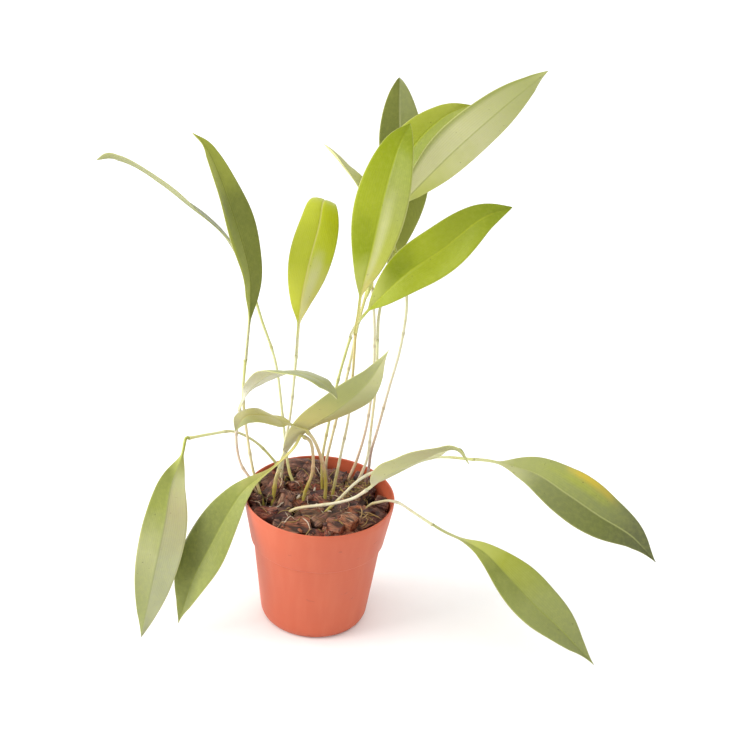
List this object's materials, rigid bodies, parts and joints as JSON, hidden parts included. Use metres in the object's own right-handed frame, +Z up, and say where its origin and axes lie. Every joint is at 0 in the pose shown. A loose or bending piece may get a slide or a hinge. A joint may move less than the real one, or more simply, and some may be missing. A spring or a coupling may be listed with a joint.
{
  "type": "potted pleurothallis ruscifolia orchid",
  "caption": "Potted tufted orchid: slim canes rise from bark chips in a tapered plastic pot, each with one long pointed leathery leaf, upright, arching or hanging.",
  "frame": {"origin": "the middle of the pot's flat base, on the surface it stands on", "axes": "+Z up, -Y towards the picture's viewer, +X to the right in the picture"},
  "size_m": [0.3414, 0.1983, 0.3333],
  "materials": {
    "pot": "terracotta-coloured moulded plastic, satin, with small scuffs",
    "bark": "rough red-brown bark chips with pale fibres and a little moss",
    "cane": "smooth yellow-green plant stem, flushed purple-brown in places, with papery sheaths",
    "leaf": "leathery leaf, satin upper side with a sunken midrib, paler matt under side"
  },
  "bodies": {
    "root": {"pot": "pot", "bark_mix": "bark", "ramicaul_far_left": "cane", "ramicaul_left_dark": "cane", "ramicaul_middle_backward": "cane", "ramicaul_centre_bright": "cane", "ramicaul_high_right_pale": "cane", "ramicaul_high_dark": "cane", "ramicaul_right_bright": "cane", "ramicaul_left_arch": "cane", "ramicaul_inner_pale": "cane", "ramicaul_small_left": "cane", "ramicaul_behind_centre": "cane", "ramicaul_high_bright": "cane", "ramicaul_left_hanging": "cane", "ramicaul_left_over_rim": "cane", "ramicaul_right_arch": "cane", "ramicaul_far_right": "cane", "ramicaul_right_hanging": "cane", "leaf_far_left": "leaf", "leaf_left_dark": "leaf", "leaf_middle_backward": "leaf", "leaf_centre_bright": "leaf", "leaf_high_right_pale": "leaf", "leaf_high_dark": "leaf", "leaf_right_bright": "leaf", "leaf_left_arch": "leaf", "leaf_inner_pale": "leaf", "leaf_small_left": "leaf", "leaf_behind_centre": "leaf", "leaf_high_bright": "leaf", "leaf_left_hanging": "leaf", "leaf_left_over_rim": "leaf", "leaf_right_arch": "leaf", "leaf_far_right": "leaf", "leaf_right_hanging": "leaf"}
  },
  "joints": []
}
